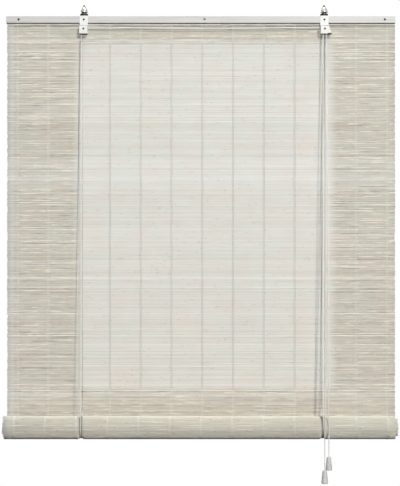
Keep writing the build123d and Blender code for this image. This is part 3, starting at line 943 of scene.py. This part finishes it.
def cord_tube(name, points):
    """A cord's tube along its smooth line, with a UV map: round it, and along it in metres."""
    line, at = evenly(smooth_line(name + "_line", points), ring_step)
    run = np.gradient(line, axis=0)
    run /= np.linalg.norm(run, axis=1)[:, None]
    side = np.cross(run[0], (0.31, 0.86, 0.4))
    sides = []
    for direction in run:
        side = side - direction * np.dot(side, direction)
        side /= np.linalg.norm(side)
        sides.append(side)
    sides = np.array(sides)
    fronts = np.cross(run, sides)
    turns = np.arange(cord_sides) * 2 * np.pi / cord_sides
    rings = line[:, None] + cord_radius * (
        np.cos(turns)[None, :, None] * sides[:, None] + np.sin(turns)[None, :, None] * fronts[:, None]
    )
    faces, uvs = [], []
    for ring in range(len(line) - 1):
        for k in range(cord_sides):
            a = ring * cord_sides + k
            b = ring * cord_sides + (k + 1) % cord_sides
            faces.append((a, b, b + cord_sides, a + cord_sides))
            u0, u1 = k / cord_sides, (k + 1) / cord_sides
            uvs += [(u0, at[ring]), (u1, at[ring]), (u1, at[ring + 1]), (u0, at[ring + 1])]
    last = (len(line) - 1) * cord_sides
    faces.append(tuple(reversed(range(cord_sides))))
    faces.append(tuple(last + k for k in range(cord_sides)))
    uvs += [(0.0, 0.0)] * (2 * cord_sides)
    mesh = bpy.data.meshes.new(name)
    mesh.from_pydata(rings.reshape(-1, 3).tolist(), [], faces)
    layer = mesh.uv_layers.new(name="cord")
    layer.data.foreach_set("uv", np.array(uvs, np.float32).ravel())
    mesh.update()
    mesh.shade_smooth()
    piece = bpy.data.objects.new(name, mesh)
    bpy.context.scene.collection.objects.link(piece)
    piece.data.materials.append(braid)
    return piece, line


braid, tree, shader, place = new_finish("braided_cord", (0.74, 0.72, 0.65), 0.8)
uv = add_node(tree, "ShaderNodeUVMap", uv_map="cord")
# two sets of strands wind opposite ways, and the higher one shows
strands = []
for lean_way in (1.0, -1.0):
    mapping = add_node(tree, "ShaderNodeMapping")
    mapping.inputs["Scale"].default_value = (braid_turns, braid_pitch * lean_way, 1.0)
    gather = add_node(tree, "ShaderNodeVectorMath", operation="DOT_PRODUCT")
    gather.inputs[1].default_value = (2 * math.pi, 2 * math.pi, 0.0)
    tree.links.new(uv.outputs[0], mapping.inputs["Vector"])
    tree.links.new(mapping.outputs[0], gather.inputs[0])
    strands.append(math_node(tree, "SINE", gather.outputs["Value"]))
crossing = math_node(tree, "MAXIMUM", strands[0], strands[1])
braid_stops = [(0.0, (0.60, 0.585, 0.53)), (0.45, (0.82, 0.81, 0.77)), (1.0, (0.93, 0.925, 0.90))]
mottle(tree, shader, crossing, braid_stops)
bump(tree, shader, crossing, 0.00016, 0.8)


def box_middle(node):
    """The middle of a node's box."""
    low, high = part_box(node)
    return (low + high) / 2


knot_y = box_middle("left_back_knot").y
hang_drop = 0.0065
hang_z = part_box("left_front_cord")[1].z - hang_drop
cross_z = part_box("left_cross_cord")[1].z - cord_radius
wheel_reach = 0.0040
cradle_bulge = 1.012
for side, cord_x in zip(("left", "right"), cord_places):
    wheel = box_middle("left_pulley" if side == "left" else "right_front_pulley")
    rise_x = wheel.x - wheel_reach
    top_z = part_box(f"{side}_back_cord")[1].z
    back_y = roll_centre.y + cradle_radius
    front_y = roll_centre.y - cradle_radius

    # back run: from the knot down behind the sheet to the roll's back
    route = [
        (cord_x, knot_y, top_z),
        (cord_x, knot_y - 0.0012, -0.330),
        (cord_x, knot_y - 0.0026, -0.640),
        (cord_x, knot_y - 0.0036, -0.880),
        (cord_x, back_y, roll_centre.z + 0.012),
        (cord_x, back_y, roll_centre.z),
    ]
    back_run, line = cord_tube(f"{side}_back_run", route)
    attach(back_run, "rail")
    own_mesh(back_run)
    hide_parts(f"{side}_back_cord")

    # cradle: half a turn under the roll, its inner control points put out so the line keeps its radius
    route = []
    for turn in np.linspace(0.0, math.pi, 9):
        bulge = 1.0 if turn in (0.0, math.pi) else cradle_bulge
        route.append(
            (
                cord_x,
                roll_centre.y + cradle_radius * bulge * math.cos(turn),
                roll_centre.z - cradle_radius * bulge * math.sin(turn),
            )
        )
    cradle, line = cord_tube(f"{side}_cradle", route)
    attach(cradle, "cradle")
    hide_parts(f"{side}_cradle_cord")

    # front run: up from the roll to the bracket
    route = [
        (rise_x, wheel.y, hang_z),
        (rise_x + (cord_x - rise_x) * 0.5, (wheel.y + front_y) / 2 + 0.0004, -0.48),
        (cord_x, front_y + 0.0008, roll_centre.z + 0.035),
        (cord_x, front_y, roll_centre.z),
    ]
    front_run, line = cord_tube(f"{side}_front_run", route)
    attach(front_run, "rail")
    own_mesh(front_run)
    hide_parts(f"{side}_front_cord")

# over the pulleys
left_wheel, rear_wheel, front_wheel = (
    box_middle(n) for n in ("left_pulley", "right_rear_pulley", "right_front_pulley")
)
corner = 0.0018
cross_sag = 0.0027


def over_wheels(name, first, last):
    """The run up onto the first wheel, over the top and down from the last one."""
    rise_x, fall_x = first.x - wheel_reach, last.x + wheel_reach
    route = [
        (rise_x, first.y, hang_z),
        (rise_x, first.y, cross_z - corner),
        (rise_x + corner, first.y, cross_z),
    ]
    if first.x != last.x:
        span = last.x - first.x
        step_back = last.y - first.y
        off_wheel = 0.02
        route += [
            (first.x + off_wheel, first.y + step_back * off_wheel / span, cross_z),
            (first.x + span * 0.3, first.y + step_back * 0.3, cross_z - cross_sag),
            (first.x + span * 0.7, first.y + step_back * 0.7, cross_z - cross_sag),
            (last.x - off_wheel, last.y - step_back * off_wheel / span, cross_z),
        ]
    route += [
        (fall_x - corner, last.y, cross_z),
        (fall_x, last.y, cross_z - corner),
        (fall_x, last.y, hang_z),
    ]
    piece, line = cord_tube(name, route)
    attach(piece, "rail")
    return piece, line


cross_run, line = over_wheels("left_cross_run", left_wheel, rear_wheel)
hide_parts("left_cross_cord")
over_run, line = over_wheels("right_over_run", front_wheel, front_wheel)
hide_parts("right_over_cord")

# pull runs: they lean out in front of the roll and hang to the drops
for side, wheel in (("left", rear_wheel), ("right", front_wheel)):
    drop_middle = box_middle(f"{side}_cord_drop")
    pull_x, pull_y = drop_middle.x, drop_middle.y
    fall_x = wheel.x + wheel_reach
    join_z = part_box(f"{side}_pull_cord_upper")[0].z
    lean = (join_z - roll_centre.z) / (hang_z - roll_centre.z)
    join = (pull_x + (fall_x - pull_x) * lean, pull_y + (wheel.y - pull_y) * lean, join_z)
    top = (fall_x, wheel.y, hang_z)
    half_way = tuple((a + b) / 2 for a, b in zip(top, join))
    bowed = (half_way[0] + 0.0007, half_way[1] + 0.0005, half_way[2])
    upper, line = cord_tube(f"{side}_pull_run", [top, bowed, join])
    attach(upper, "rail")
    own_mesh(upper)
    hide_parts(f"{side}_pull_cord_upper")

    # drop run: on from there to the knot in the drop
    knot_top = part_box(f"{side}_drop_knot")[1].z
    route = [
        join,
        (pull_x, pull_y, roll_centre.z),
        (pull_x + 0.0003, pull_y, (roll_centre.z + knot_top) / 2),
        (pull_x, pull_y, knot_top),
    ]
    lower, line = cord_tube(f"{side}_drop_run", route)
    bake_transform(lower)
    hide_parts(f"{side}_pull_cord_lower")
# the knots are pulled too tight to show the braid, so they take the plain thread's finish
for side in ("left", "right"):
    for knot in ("back_knot", "drop_knot"):
        dress(f"{side}_{knot}", cotton)


# ------------------------------------------------------------------ cord drops
# Moulded bell-shaped pulls in light grey-white, hollow below for the cord's knot.
moulding, tree, shader, place = new_finish("grey_white_moulding", (0.60, 0.60, 0.58), 0.35)
swirl = stretched_noise(tree, place, (140.0, 140.0, 90.0), detail=4.0)
mottle(tree, shader, swirl, [(0.3, (0.50, 0.50, 0.475)), (0.7, (0.66, 0.66, 0.64))])
bump(tree, shader, swirl, 0.0002, 0.3)
for side in ("left", "right"):
    dress(f"{side}_cord_drop", moulding)
